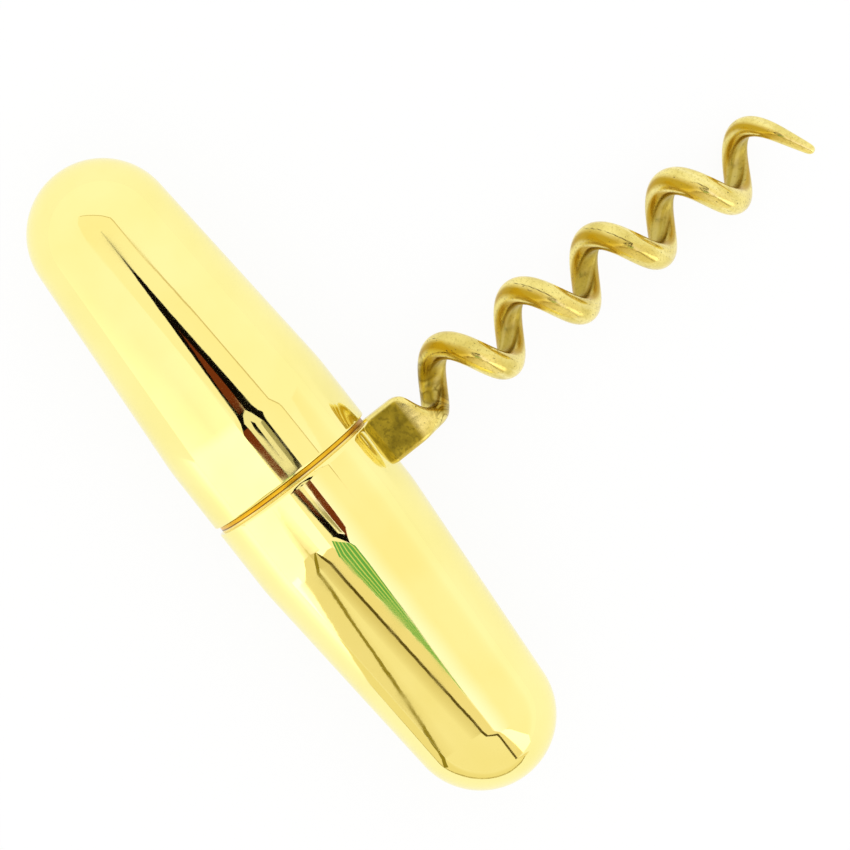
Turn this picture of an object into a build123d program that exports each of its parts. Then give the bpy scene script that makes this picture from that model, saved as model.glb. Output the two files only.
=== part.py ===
from build123d import *
import math
import os

# A pocket corkscrew whose two half shells close into a capsule-shaped cross handle.
# Millimetres. The origin is the centre of the seam on the handle's axis. +X runs to
# the holding half's end, +Y along the worm and +Z up, square to the flat of the tang.

# Handle outline, the same on both halves
handle_length = 90.0
band_diameter = 22.0
band_length = 18.0
band_blend_radius = 32.0
taper_drop = 2.0
shell_wall = 1.0
seam_gap = 0.6
rim_chamfer = 0.15

# Tang and its eye
tang_width = 6.5
tang_thickness = 2.8
tang_edge_round = 0.6
tang_flat_length = 14.8
pivot_offset = 3.3
eye_diameter = 2.6

# Worm
wire_diameter = 3.4
worm_outer_diameter = 9.8
worm_pitch = 11.15
worm_turns = 4.91
worm_start = 17.3
worm_axis_offset = 1.87
worm_lean = 2.7
wire_flat_depth = 0.3
point_diameter = 1.25
point_taper_turns = 1.035
point_taper_power = 2.2
point_straight_turns = 0.16
worm_step = 0.25

# Neck, where the flat of the tang becomes round wire
neck_end = 16.6
neck_offset = 4.7
neck_drop = 0.3
neck_tilt = 30.0
neck_turns = 0.125

# Notch for the tang
notch_depth = 8.3
slot_side_clearance = 0.15
slot_corner_radius = 0.5

# Guide tube and its two runner slots
tube_wall = 0.8
tube_clearance = 0.2
tube_end_inset = 0.6
tube_end_margin = 1.4

# Spigot collar
collar_inset = 1.5
spigot_length = 7.0
flange_recess = 0.5
spigot_lead_in = 0.3
ring_groove_width = 1.0
ring_groove_depth = 0.5
ring_groove_inset = 2.5

# Grip ring
ring_opening = 4.2
ring_proud = 0.02

# Cap liner
liner_wall = 0.71
liner_recess = 0.3
liner_inset = 1.4
liner_lead_in = 0.2

# Runner: shoes, spacers and pin
shoe_length = 5.0
shoe_width = 3.3
shoe_thickness = 0.95
spacer_diameter = 4.4
pin_end_chamfer = 0.2

# Fits and clearances
pressed_gap = 0.02
running_gap = 0.05
liner_gap = 0.07
seat_gap = 0.05
cut_overrun = 2.0

# Sizes that follow from the ones above
mouth = seam_gap / 2
band_radius = band_diameter / 2
bore_radius = band_radius - shell_wall
end_radius = band_radius - taper_drop
end_centre = handle_length / 2 - end_radius
collar_end = band_length / 2 - collar_inset
liner_bore_radius = bore_radius - pressed_gap - liner_wall
spigot_radius = liner_bore_radius - liner_gap
spigot_tip = mouth - seat_gap - spigot_length
groove_start = spigot_tip + ring_groove_inset
tube_radius = end_radius - shell_wall - tube_clearance
tube_bore_radius = tube_radius - tube_wall
tube_end = end_centre - tube_end_inset
stow_travel = tube_end - tube_end_margin - shoe_length / 2 - pivot_offset
slot_width = tang_thickness + 2 * slot_side_clearance
wire_radius = wire_diameter / 2
coil_radius = (worm_outer_diameter - wire_diameter) / 2
wound_turns = worm_turns - point_straight_turns
point_radius = point_diameter / 2
pin_radius = eye_diameter / 2 - running_gap
shoe_top = math.sqrt(tube_radius**2 - (shoe_width / 2) ** 2) - running_gap


def half_outline(wall):
    """Region between the axis and a half shell's outline, moved inwards by wall."""
    radius = band_radius - wall
    end = end_radius - wall
    run = end_centre - band_length / 2
    touch_angle = math.atan2(band_radius, -run) - math.acos(end_radius / math.hypot(run, band_radius))
    band_end = band_length / 2 - wall * math.tan((math.pi / 2 - touch_angle) / 2)
    touch = (end_centre + end * math.cos(touch_angle), end * math.sin(touch_angle))
    half_way = (end_centre + end * math.cos(touch_angle / 2), end * math.sin(touch_angle / 2))
    tip = (end_centre + end, 0)
    sides = Polyline(tip, (mouth, 0), (mouth, radius), (band_end, radius), touch)
    outline = make_face(sides + ThreePointArc(touch, half_way, tip))
    shoulder = outline.vertices().sort_by_distance((band_end, radius))[0]
    return fillet(shoulder, band_blend_radius - wall)


def half_shell():
    """One thin-walled half of the handle, open at the seam, its rim lightly chamfered."""
    shell = revolve(half_outline(0) - half_outline(shell_wall), Axis.X)
    rim = shell.edges().filter_by(GeomType.CIRCLE).group_by(Axis.X)[0].sort_by(SortBy.RADIUS)[-1]
    return chamfer(rim, rim_chamfer)


def rod_x(radius, x_from, x_to):
    """A plain cylinder on the handle's axis between two places."""
    middle = Pos((x_from + x_to) / 2, 0, 0) * Rot(0, 90, 0)
    return middle * Cylinder(radius, abs(x_to - x_from))


def pipe_x(outer, inner, x_from, x_to):
    """A tube on the handle's axis between two places."""
    return rod_x(outer, x_from, x_to) - rod_x(inner, x_from - cut_overrun, x_to + cut_overrun)


def tang_slot(x_from):
    """What the slot for the tang removes from a wall, from x_from to the notch's end."""
    length = notch_depth - x_from
    height = band_radius + cut_overrun
    slot = Pos(x_from + length / 2, height / 2, 0) * Box(length, height, slot_width)
    corners = slot.edges().filter_by(Axis.Y).group_by(Axis.X)[-1]
    return fillet(corners, slot_corner_radius)


def runner_slots():
    """The pair of closed slots, front and back, that the shoes run in."""
    start = pivot_offset - shoe_length / 2 - running_gap
    length = stow_travel + shoe_length + 2 * running_gap
    width = shoe_width + 2 * running_gap
    place = Plane.XY * Pos(start + length / 2, 0)
    return extrude(place * SlotOverall(length, width), tube_radius + cut_overrun, both=True)


def holding_shell():
    """The half that keeps the worm, notched at its rim for the tang."""
    return half_shell() - tang_slot(mouth - cut_overrun)


def cap_shell():
    """The half that pulls off, with an unbroken rim."""
    return mirror(half_shell(), about=Plane.YZ)


def spigot_collar():
    """Turned collar: plug in the holding shell, thin flange, and spigot for the cap."""
    spigot = rod_x(spigot_radius, spigot_tip, mouth)
    nose = spigot.edges().filter_by(GeomType.CIRCLE).sort_by(Axis.X)[0]
    collar = chamfer(nose, spigot_lead_in)
    collar += rod_x(band_radius - flange_recess, seat_gap - mouth, mouth)
    collar += rod_x(bore_radius - pressed_gap, mouth, collar_end)
    collar -= rod_x(tube_radius + pressed_gap, spigot_tip - cut_overrun, collar_end + cut_overrun)
    groove_floor = spigot_radius - ring_groove_depth
    groove_end = groove_start + ring_groove_width
    collar -= pipe_x(spigot_radius + cut_overrun, groove_floor, groove_start, groove_end)
    return collar - tang_slot(spigot_tip - cut_overrun)


def grip_ring():
    """Open spring ring in the spigot's groove, its gap over the tang slot."""
    start = groove_start + pressed_gap
    end = groove_start + ring_groove_width - pressed_gap
    inner = spigot_radius - ring_groove_depth + pressed_gap
    ring = pipe_x(spigot_radius + ring_proud, inner, start, end)
    gap = Pos((start + end) / 2, spigot_radius, 0) * Box(cut_overrun, spigot_radius, ring_opening)
    return ring - gap


def guide_tube():
    """Tube brazed into the collar, slotted at both sides for the runner's shoes."""
    tube = pipe_x(tube_radius, tube_bore_radius, spigot_tip, tube_end)
    return tube - runner_slots() - tang_slot(spigot_tip - cut_overrun)


def cap_liner():
    """Sleeve pressed into the cap's mouth, which grips the spigot and its ring."""
    rim = -mouth - liner_recess
    liner = pipe_x(bore_radius - pressed_gap, liner_bore_radius, liner_inset - band_length / 2, rim)
    bore = liner.edges().filter_by(GeomType.CIRCLE).group_by(Axis.X)[-1].sort_by(SortBy.RADIUS)[0]
    return chamfer(bore, liner_lead_in)


def pivot_pin():
    """Pin through the tang's eye, its ends held in the two shoes."""
    reach = math.sqrt(tube_radius**2 - pin_radius**2) - running_gap
    pin = Pos(pivot_offset, 0, 0) * Cylinder(pin_radius, 2 * reach)
    return chamfer(pin.edges().filter_by(GeomType.CIRCLE), pin_end_chamfer)


def shoe(side):
    """Round-ended shoe on one end of the pin, side 1 in front and -1 behind."""
    bottom = shoe_top - shoe_thickness
    blank = extrude(Pos(pivot_offset, 0, bottom) * SlotOverall(shoe_length, shoe_width), shoe_thickness)
    hole = Pos(pivot_offset, 0, 0) * Cylinder(pin_radius + pressed_gap, 2 * band_radius)
    front = blank - hole
    return front if side > 0 else mirror(front, about=Plane.XY)


def spacer(side):
    """Sleeve on the pin that keeps the tang midway between the shoes."""
    bottom = tang_thickness / 2 + running_gap
    top = shoe_top - shoe_thickness - running_gap
    sleeve = Cylinder(spacer_diameter / 2, top - bottom) - Cylinder(eye_diameter / 2, band_radius)
    return Pos(pivot_offset, 0, side * (bottom + top) / 2) * sleeve


def lean(local):
    """Puts a point or direction of the upright worm into its leaning place."""
    return local.rotate(Axis.Z, -worm_lean)


def wire_plane(turn):
    """Plane square to the wire at this turn, which runs straight on past its last bend."""
    wound = min(turn, wound_turns)
    angle = math.tau * wound
    outwards = Vector(math.cos(angle), 0, -math.sin(angle))
    rise = worm_pitch / math.tau
    heading = Vector(-coil_radius * math.sin(angle), rise, -coil_radius * math.cos(angle))
    centre = outwards * coil_radius + Vector(0, worm_pitch * wound, 0) + heading * math.tau * (turn - wound)
    origin = lean(centre) + Vector(worm_axis_offset, worm_start, 0)
    return Plane(origin, x_dir=lean(outwards), z_dir=lean(heading))


def neck_plane():
    """Plane square to the wire where the neck ends, already turning to the back."""
    tilt = math.radians(neck_tilt)
    origin = (neck_offset, neck_end, -neck_drop)
    return Plane(origin, x_dir=(1, 0, 0), z_dir=(0, math.cos(tilt), -math.sin(tilt)))


def biarc(near, far):
    """Two arcs, tangent to each other, that lead from one plane's centre to the next."""
    chord = far.origin - near.origin
    headings = near.z_dir + far.z_dir
    spread = 2 * (1 - near.z_dir.dot(far.z_dir))
    along = chord.dot(headings)
    reach = (math.sqrt(along**2 + spread * chord.dot(chord)) - along) / spread
    middle = (near.origin + far.origin + (near.z_dir - far.z_dir) * reach) / 2
    first = Edge.make_tangent_arc(near.origin, near.z_dir, middle)
    second = Edge.make_tangent_arc(middle, first.tangent_at(1), far.origin)
    return [first, second]


def tang():
    """Flat of the tang, and the neck where it turns into round wire."""
    outline = Pos(pivot_offset, 0) * Circle(tang_width / 2)
    outline += Pos(pivot_offset, tang_flat_length / 2) * Rectangle(tang_width, tang_flat_length)
    flat = extrude(outline, tang_thickness / 2, both=True)
    top = tang_flat_length - tang_edge_round
    rims = flat.edges().filter_by(lambda edge: abs(edge.center().Z) > 0 and edge.center().Y < top)
    root = Plane((pivot_offset, tang_flat_length, 0), x_dir=(1, 0, 0), z_dir=(0, 1, 0))
    root_face = root * RectangleRounded(tang_width, tang_thickness, tang_edge_round)
    return fillet(rims, tang_edge_round) + loft([root_face, neck_plane() * Circle(wire_radius)])


def point_wire_radius(turn):
    """Radius of the wire on its taper, full at the taper's start and least at the point."""
    way = max(0, 1 - (worm_turns - turn) / point_taper_turns)
    return wire_radius - (wire_radius - point_radius) * way**point_taper_power


def tapered_point():
    """Last stretch of the wire, thinned to a blunt point, as three lofts end to end."""
    start = worm_turns - point_taper_turns
    sections = [start + point_taper_turns * step / 9 for step in range(10)]
    faces = [wire_plane(turn) * Circle(point_wire_radius(turn)) for turn in sections]
    point = Pos(wire_plane(worm_turns).origin) * Sphere(point_radius)
    return loft(faces[0:4]) + loft(faces[3:7]) + loft(faces[6:10]) + point


def worm():
    """Tang and worm, forged flat at one end and wound from one wire over a mandrel."""
    taper_start = worm_turns - point_taper_turns
    steps = round((taper_start - neck_turns) / worm_step)
    planes = [neck_plane()]
    planes += [wire_plane(neck_turns + worm_step * step) for step in range(steps + 1)]
    arcs = [arc for near, far in zip(planes, planes[1:]) for arc in biarc(near, far)]
    wire = sweep(planes[0] * Circle(wire_radius), path=Wire(arcs))
    eye = Pos(pivot_offset, 0, 0) * Cylinder(eye_diameter / 2, band_radius)
    return tang() + wire + tapered_point() - mandrel() - eye


def mandrel():
    """Core that the worm was wound over, which leaves the wire flat on its inner side."""
    radius = coil_radius - wire_radius + wire_flat_depth
    length = worm_pitch * worm_turns
    core = Plane(lean(Vector(0, wire_radius, 0)), z_dir=lean(Vector(0, 1, 0)))
    nose = core * Pos(0, 0, wire_radius / 2) * Cone(0, radius, wire_radius)
    shaft = core * Pos(0, 0, wire_radius + length / 2) * Cylinder(radius, length)
    return Pos(worm_axis_offset, worm_start, 0) * (nose + shaft)


def least_turn_gap():
    """Smallest clear space between one turn of the wire and the next."""
    centres = [wire_plane(step / 24).origin for step in range(int(24 * worm_turns) + 1)]
    far_pairs = [(near, far) for index, near in enumerate(centres) for far in centres[index + 12 :]]
    return min((near - far).length for near, far in far_pairs) - wire_diameter


pieces = {
    "holding_shell": holding_shell(),
    "cap_shell": cap_shell(),
    "spigot_collar": spigot_collar(),
    "grip_ring": grip_ring(),
    "guide_tube": guide_tube(),
    "cap_liner": cap_liner(),
    "pivot_pin": pivot_pin(),
    "shoe_front": shoe(1),
    "shoe_rear": shoe(-1),
    "spacer_front": spacer(1),
    "spacer_rear": spacer(-1),
    "worm": worm(),
}

os.makedirs("parts", exist_ok=True)
for name, piece in pieces.items():
    export_step(piece, f"parts/{name}.step")
print(f"least gap between turns {least_turn_gap():.2f} mm")
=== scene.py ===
import math

import bpy
from mathutils import Matrix, Vector


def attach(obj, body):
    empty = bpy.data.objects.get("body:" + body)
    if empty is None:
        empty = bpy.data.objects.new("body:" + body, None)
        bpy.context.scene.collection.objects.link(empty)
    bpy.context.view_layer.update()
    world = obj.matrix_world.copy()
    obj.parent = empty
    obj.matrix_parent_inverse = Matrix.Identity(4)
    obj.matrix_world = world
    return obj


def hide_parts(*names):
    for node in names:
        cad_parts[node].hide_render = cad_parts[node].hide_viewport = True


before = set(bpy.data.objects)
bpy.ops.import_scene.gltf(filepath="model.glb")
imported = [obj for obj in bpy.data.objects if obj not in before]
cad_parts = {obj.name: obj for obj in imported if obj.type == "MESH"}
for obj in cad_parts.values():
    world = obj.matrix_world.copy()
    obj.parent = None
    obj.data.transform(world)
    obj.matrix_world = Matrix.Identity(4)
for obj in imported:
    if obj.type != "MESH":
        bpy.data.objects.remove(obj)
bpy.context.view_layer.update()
mm = 0.001


# Cap shell: the half of the capsule handle that pulls off. It is a thin brass cup, spun
# over a former to a straight band, a long taper and a round end, then plated with gold
# and buffed until it mirrors the room.
band_radius, band_end = 11 * mm, 7.831 * mm
blend_radius, taper_angle = 32 * mm, math.radians(4.188)
end_radius, end_centre = 9 * mm, 36 * mm
cap_rim, holding_rim, rim_break, cup_wall = 0.6 * mm, 0.3 * mm, 0.15 * mm, 1 * mm
cup_sides, blend_steps, taper_steps, end_steps = 224, 8, 6, 44
band_places = (0.9, 1.5, 3.5, 5.6)


def cup_stations(rim):
    """Places along the axis and radii there: the rim, the band, the blend, the taper and the round end."""
    stations = [(rim, band_radius)] + [(x * mm, band_radius) for x in band_places]
    for step in range(blend_steps + 1):
        angle = taper_angle * step / blend_steps
        drop = blend_radius * (1 - math.cos(angle))
        stations.append((band_end + blend_radius * math.sin(angle), band_radius - drop))
    start_x, start_radius = stations[-1]
    for step in range(1, taper_steps):
        x = start_x + (end_centre + end_radius * math.sin(taper_angle) - start_x) * step / taper_steps
        stations.append((x, start_radius - (x - start_x) * math.tan(taper_angle)))
    for step in range(end_steps):
        angle = taper_angle + (math.pi / 2 - taper_angle) * step / end_steps
        stations.append((end_centre + end_radius * math.sin(angle), end_radius * math.cos(angle)))
    return stations


def draw_out(name, sides, stations):
    """Draws a ring of points out along the handle's axis, from one station to the next."""
    (x, radius), *further = stations
    bpy.ops.mesh.primitive_circle_add(vertices=sides, radius=radius, rotation=(0, math.pi / 2, 0))
    piece = bpy.context.object
    piece.name = name
    bpy.ops.object.transform_apply()
    bpy.ops.object.mode_set(mode="EDIT")
    bpy.ops.mesh.select_all(action="SELECT")
    bpy.ops.transform.translate(value=(x, 0, 0))
    for next_x, next_radius in further:
        bpy.ops.mesh.extrude_region_move(TRANSFORM_OT_translate={"value": (next_x - x, 0, 0)})
        growth = next_radius / radius
        bpy.ops.transform.resize(value=(1, growth, growth), center_override=(next_x, 0, 0))
        x, radius = next_x, next_radius
    return piece


def pick(piece, kind, wanted):
    """Starts an edit with those points, edges or faces selected that pass a test."""
    bpy.ops.object.mode_set(mode="EDIT")
    bpy.ops.mesh.select_mode(type=kind)
    bpy.ops.mesh.select_all(action="DESELECT")
    bpy.ops.object.mode_set(mode="OBJECT")
    mesh = piece.data
    for element in {"VERT": mesh.vertices, "EDGE": mesh.edges, "FACE": mesh.polygons}[kind]:
        element.select = wanted(element)
    bpy.ops.object.mode_set(mode="EDIT")


def pick_edges(piece, wanted):
    """Starts an edit with those edges selected whose two ends pass a test."""
    points = piece.data.vertices
    pick(piece, "EDGE", lambda edge: wanted(*[points[end].co for end in edge.vertices]))


def face_outwards():
    """Merges doubled points of the piece being edited, turns its faces outwards and ends the edit."""
    merge_within = 0.001 * mm
    bpy.ops.mesh.select_all(action="SELECT")
    bpy.ops.mesh.remove_doubles(threshold=merge_within)
    bpy.ops.mesh.normals_make_consistent(inside=False)
    bpy.ops.object.mode_set(mode="OBJECT")


def radius_at(point):
    """Distance of a point from the handle's axis."""
    return math.hypot(point.y, point.z)


def on_circle(point, rim):
    """Whether a point lies on the circle round the handle's axis that goes through another."""
    aside, off_radius = 0.002 * mm, 0.02 * mm
    return abs(point.x - rim.x) < aside and abs(radius_at(point) - radius_at(rim)) < off_radius


def spin_cup(name, side, rim):
    """One cup of the handle, drawn out towards side 1 or -1, closed at its pole and given its wall."""
    cup = draw_out(name, cup_sides, [(side * x, radius) for x, radius in cup_stations(rim)])
    tip_x = cup_stations(rim)[-1][0]
    pole = end_centre + end_radius
    bpy.ops.mesh.extrude_region_move(TRANSFORM_OT_translate={"value": (side * (pole - tip_x), 0, 0)})
    bpy.ops.mesh.merge(type="CENTER")
    face_outwards()
    wall = cup.modifiers.new("wall", "SOLIDIFY")
    wall.thickness, wall.offset, wall.use_even_offset = cup_wall, -1, True
    bpy.ops.object.modifier_apply(modifier=wall.name)
    corner = Vector((side * rim, band_radius, 0))
    pick_edges(cup, lambda a, b: on_circle(a, corner) and on_circle(b, corner))
    bpy.ops.mesh.bevel(offset=rim_break, segments=3, affect="EDGES")
    bpy.ops.object.mode_set(mode="OBJECT")
    return cup


def polish(piece, crease=30):
    """Shades a piece smooth up to its creases, with its broad faces kept true."""
    bpy.ops.object.select_all(action="DESELECT")
    piece.select_set(True)
    bpy.context.view_layer.objects.active = piece
    bpy.ops.object.shade_smooth_by_angle(angle=math.radians(crease))
    truing = piece.modifiers.new("truing", "WEIGHTED_NORMAL")
    truing.keep_sharp = True
    bpy.ops.object.modifier_apply(modifier=truing.name)


def new_finish(name):
    """A metal finish: its material, links and shader, and the place that its patterns read."""
    finish = bpy.data.materials.new(name)
    finish.use_nodes = True
    nodes = finish.node_tree.nodes
    shader = nodes["Principled BSDF"]
    shader.inputs["Metallic"].default_value = 1
    place = nodes.new("ShaderNodeTexCoord").outputs["Object"]
    return finish, finish.node_tree.links, shader, place


def mottle(finish, place, scale, detail=3, stretch=(1, 1, 1)):
    """Cloudy pattern on a place, stretched along its axes by a Mapping node."""
    nodes, links = finish.node_tree.nodes, finish.node_tree.links
    mapping = nodes.new("ShaderNodeMapping")
    mapping.inputs["Scale"].default_value = stretch
    noise = nodes.new("ShaderNodeTexNoise")
    noise.inputs["Scale"].default_value = scale
    noise.inputs["Detail"].default_value = detail
    links.new(place, mapping.inputs["Vector"])
    links.new(mapping.outputs["Vector"], noise.inputs["Vector"])
    return noise.outputs["Fac"]


def remap(finish, value, low, high, to_low, to_high):
    """Stretches the part of a pattern between low and high over the range to_low to to_high."""
    spread = finish.node_tree.nodes.new("ShaderNodeMapRange")
    for socket, number in zip(("From Min", "From Max", "To Min", "To Max"), (low, high, to_low, to_high)):
        spread.inputs[socket].default_value = number
    finish.node_tree.links.new(value, spread.inputs["Value"])
    return spread.outputs["Result"]


def blend_colours(finish, share, first, second):
    """Colour that goes from a first to a second with a share, each a plain colour or a mix."""
    mix = finish.node_tree.nodes.new("ShaderNodeMix")
    mix.data_type = "RGBA"
    finish.node_tree.links.new(share, mix.inputs["Factor"])
    for socket, colour in (("A", first), ("B", second)):
        target = [i for i in mix.inputs if i.name == socket and i.type == "RGBA"][0]
        if isinstance(colour, tuple):
            target.default_value = (*colour, 1)
        else:
            finish.node_tree.links.new(colour, target)
    return [o for o in mix.outputs if o.type == "RGBA"][0]


def relief(finish, height, depth, under=None):
    """Normal of a surface whose pattern stands up by depth, on top of another relief if one is given."""
    bump = finish.node_tree.nodes.new("ShaderNodeBump")
    bump.inputs["Distance"].default_value = depth
    finish.node_tree.links.new(height, bump.inputs["Height"])
    if under:
        finish.node_tree.links.new(under, bump.inputs["Normal"])
    return bump.outputs["Normal"]


def gold_plate():
    """Mirror gold: faint clouds in its colour, smudges, hair scratches and a shallow orange peel."""
    finish, links, shader, place = new_finish("gold_plate")
    tint = remap(finish, mottle(finish, place, 90), 0.35, 0.65, 0, 1)
    colour = blend_colours(finish, tint, (0.975, 0.875, 0.32), (1, 0.91, 0.37))
    links.new(colour, shader.inputs["Base Color"])
    smudge = remap(finish, mottle(finish, place, 160, 6), 0.46, 0.72, 0.025, 0.085)
    links.new(smudge, shader.inputs["Roughness"])
    peel = relief(finish, mottle(finish, place, 420, 2), 0.0016 * mm)
    scratches = mottle(finish, place, 900, 5, (0.12, 1, 1))
    links.new(relief(finish, scratches, 0.0012 * mm, peel), shader.inputs["Normal"])
    return finish


mirror_gold = gold_plate()
cap_cup = spin_cup("cap_cup", -1, cap_rim)
polish(cap_cup)
cap_cup.data.materials.append(mirror_gold)
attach(cap_cup, "cap_half")
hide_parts("cap_shell")


# Holding shell: the same spun and plated cup turned about, with a notch sawn in its rim
# so that the flat of the worm can swing out at the seam.
notch_end, notch_width, notch_corner = 8.3 * mm, 3.1 * mm, 0.5 * mm
saw_height, past_rim = 14 * mm, -2 * mm


def cut_away(piece, cutter):
    """Cuts the shape of one object out of a piece, and removes the cutter."""
    bpy.context.view_layer.objects.active = piece
    cut = piece.modifiers.new("cut", "BOOLEAN")
    cut.object, cut.solver = cutter, "EXACT"
    bpy.ops.object.modifier_apply(modifier=cut.name)
    bpy.data.objects.remove(cutter)


def block_at(location, *sides):
    """Block with its middle at a place and its three sides along the axes."""
    bpy.ops.mesh.primitive_cube_add(size=1, location=location)
    block = bpy.context.object
    block.scale = sides
    bpy.ops.object.transform_apply()
    return block


def saw(start):
    """Block as wide as the notch, from a start to the notch's rounded end, above the axis."""
    length, near_end = notch_end - start, notch_end - 0.1 * mm
    block = block_at((start + length / 2, saw_height / 2, 0), length, saw_height, notch_width)
    pick_edges(block, lambda a, b: a.z * b.z > 0 and min(a.x, b.x) > near_end)
    bpy.ops.mesh.bevel(offset=notch_corner, segments=6, affect="EDGES")
    bpy.ops.object.mode_set(mode="OBJECT")
    return block


holding_cup = spin_cup("holding_cup", 1, holding_rim)
cut_away(holding_cup, saw(past_rim))
polish(holding_cup)
holding_cup.data.materials.append(mirror_gold)
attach(holding_cup, "holding_half")
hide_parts("holding_shell")


# Spigot collar: turned from brass bar in one piece. Its plug is pressed into the holding
# shell, its thin flange shows as the bottom of the seam, and its spigot carries the cap.
collar_sides = 160
spigot_radius, flange_radius, plug_radius, collar_bore = 9.2 * mm, 10.5 * mm, 9.98 * mm, 7.82 * mm
spigot_end, flange_back, flange_face, plug_end = -6.75 * mm, -0.5 * mm, 0.3 * mm, 7.5 * mm
groove_start, groove_end, groove_radius = -3.25 * mm, -4.25 * mm, 8.7 * mm
lead_in_end, lead_in_radius, past_spigot = -6.45 * mm, 8.9 * mm, -9 * mm


def turn_ring(name, sides, stations):
    """A closed turned ring: its outline is drawn out station by station and joined to its start."""
    ring = draw_out(name, sides, stations)
    rims = [Vector((x, radius, 0)) for x, radius in (stations[0], stations[-1])]
    pick_edges(ring, lambda a, b: any(on_circle(a, rim) and on_circle(b, rim) for rim in rims))
    bpy.ops.mesh.bridge_edge_loops()
    face_outwards()
    return ring


def ease_edges(piece, width, segments=2):
    """Breaks every sharp edge of a piece and keeps its flats flat."""
    edge_break = piece.modifiers.new("edge_break", "BEVEL")
    edge_break.width, edge_break.segments, edge_break.limit_method = width, segments, "ANGLE"
    edge_break.angle_limit = math.radians(35)
    bpy.context.view_layer.objects.active = piece
    bpy.ops.object.modifier_apply(modifier=edge_break.name)
    polish(piece)


def part_of(finish, place, axis):
    """One coordinate of a place."""
    split = finish.node_tree.nodes.new("ShaderNodeSeparateXYZ")
    finish.node_tree.links.new(place, split.inputs["Vector"])
    return split.outputs[axis]


def lathe_brass():
    """Brass off the lathe: rings left by the tool, an orange bloom, and painted shade and a painted
    highlight at the seam.
    """
    finish, links, shader, place = new_finish("lathe_brass")
    bloom = remap(finish, mottle(finish, place, 220, 5), 0.4, 0.65, 0, 1)
    colour = blend_colours(finish, bloom, (0.88, 0.52, 0.03), (0.74, 0.38, 0.015))
    along = part_of(finish, place, "X")
    # Painted shade: dark from just on the cap's side of the seam onwards, left as a thin dark band in the
    # seam.
    corner = remap(finish, along, -0.14 * mm, -0.08 * mm, 0, 0.9)
    colour = blend_colours(finish, corner, colour, (0.16, 0.05, 0.008))
    # Painted highlight: pale gold from the holding shell's side of the seam onwards, over the dark band.
    edge = remap(finish, along, 0.0 * mm, 0.06 * mm, 0, 0.95)
    colour = blend_colours(finish, edge, colour, (0.98, 0.80, 0.30))
    # Painted shade: darker towards the notch above the axis.
    notch_shade = remap(finish, part_of(finish, place, "Y"), 7.5 * mm, 10 * mm, 0, 0.75)
    colour = blend_colours(finish, notch_shade, colour, (0.30, 0.10, 0.015))
    rings = mottle(finish, place, 2600, 2, (1, 0.004, 0.004))
    links.new(colour, shader.inputs["Base Color"])
    links.new(remap(finish, rings, 0.3, 0.7, 0.2, 0.36), shader.inputs["Roughness"])
    links.new(relief(finish, rings, 0.006 * mm), shader.inputs["Normal"])
    return finish


turned_brass = lathe_brass()
collar = turn_ring(
    "turned_collar",
    collar_sides,
    [
        (spigot_end, collar_bore), (spigot_end, lead_in_radius), (lead_in_end, spigot_radius),
        (groove_end, spigot_radius), (groove_end, groove_radius), (groove_start, groove_radius),
        (groove_start, spigot_radius), (flange_back, spigot_radius), (flange_back, flange_radius),
        (flange_face, flange_radius), (flange_face, plug_radius), (plug_end, plug_radius),
        (plug_end, collar_bore),
    ],
)
cut_away(collar, saw(past_spigot))
ease_edges(collar, 0.05 * mm)
collar.data.materials.append(turned_brass)
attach(collar, "holding_half")
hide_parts("spigot_collar")


# Grip ring: an open ring of spring bronze strip, snapped into the spigot's groove. It
# presses outwards on the cap's sleeve, and its gap stands over the notch.
ring_gap, ring_start, ring_end = 4.2 * mm, -3.27 * mm, -4.23 * mm
ring_bore, ring_radius = 8.72 * mm, 9.22 * mm
gap_place, block_length, block_height = 9 * mm, 2 * mm, 6 * mm


def sprung_bronze():
    """Drawn bronze strip: reddish brown, with draw lines round the ring and darker stains."""
    finish, links, shader, place = new_finish("sprung_bronze")
    stain = remap(finish, mottle(finish, place, 500, 4), 0.4, 0.7, 0, 1)
    colour = blend_colours(finish, stain, (0.66, 0.40, 0.17), (0.40, 0.22, 0.08))
    links.new(colour, shader.inputs["Base Color"])
    lines = mottle(finish, place, 5200, 2, (1, 0.02, 0.02))
    links.new(remap(finish, lines, 0.3, 0.7, 0.22, 0.4), shader.inputs["Roughness"])
    links.new(relief(finish, lines, 0.003 * mm), shader.inputs["Normal"])
    return finish


grip_stations = [
    (ring_end, ring_bore), (ring_end, ring_radius), (ring_start, ring_radius), (ring_start, ring_bore)
]
grip_ring = turn_ring("spring_ring", collar_sides, grip_stations)
gap_middle = ((ring_start + ring_end) / 2, gap_place, 0)
cut_away(grip_ring, block_at(gap_middle, block_length, block_height, ring_gap))
ease_edges(grip_ring, 0.08 * mm, 3)
grip_ring.data.materials.append(sprung_bronze())
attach(grip_ring, "holding_half")
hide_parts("grip_ring")


# Guide tube: drawn brass tube brazed into the collar. The worm's flat is stowed in it, and
# two closed slots, front and back, keep the runner's shoes in line.
tube_end, tube_bore, tube_radius, tube_sides = 35.4 * mm, 7 * mm, 7.8 * mm, 128
slot_start, slot_length, slot_width, slot_reach = 0.75 * mm, 33.3 * mm, 3.4 * mm, 20 * mm


def rounded_bar(location, length, width, height):
    """Bar with full round ends along the handle, as a milling cutter leaves its slot."""
    most, nearly_half = 0.9, 0.499
    bar = block_at(location, length, width, height)
    pick_edges(bar, lambda a, b: abs(a.z - b.z) > most * height)
    bpy.ops.mesh.bevel(offset=nearly_half * width, segments=12, affect="EDGES")
    bpy.ops.object.mode_set(mode="OBJECT")
    return bar


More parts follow.
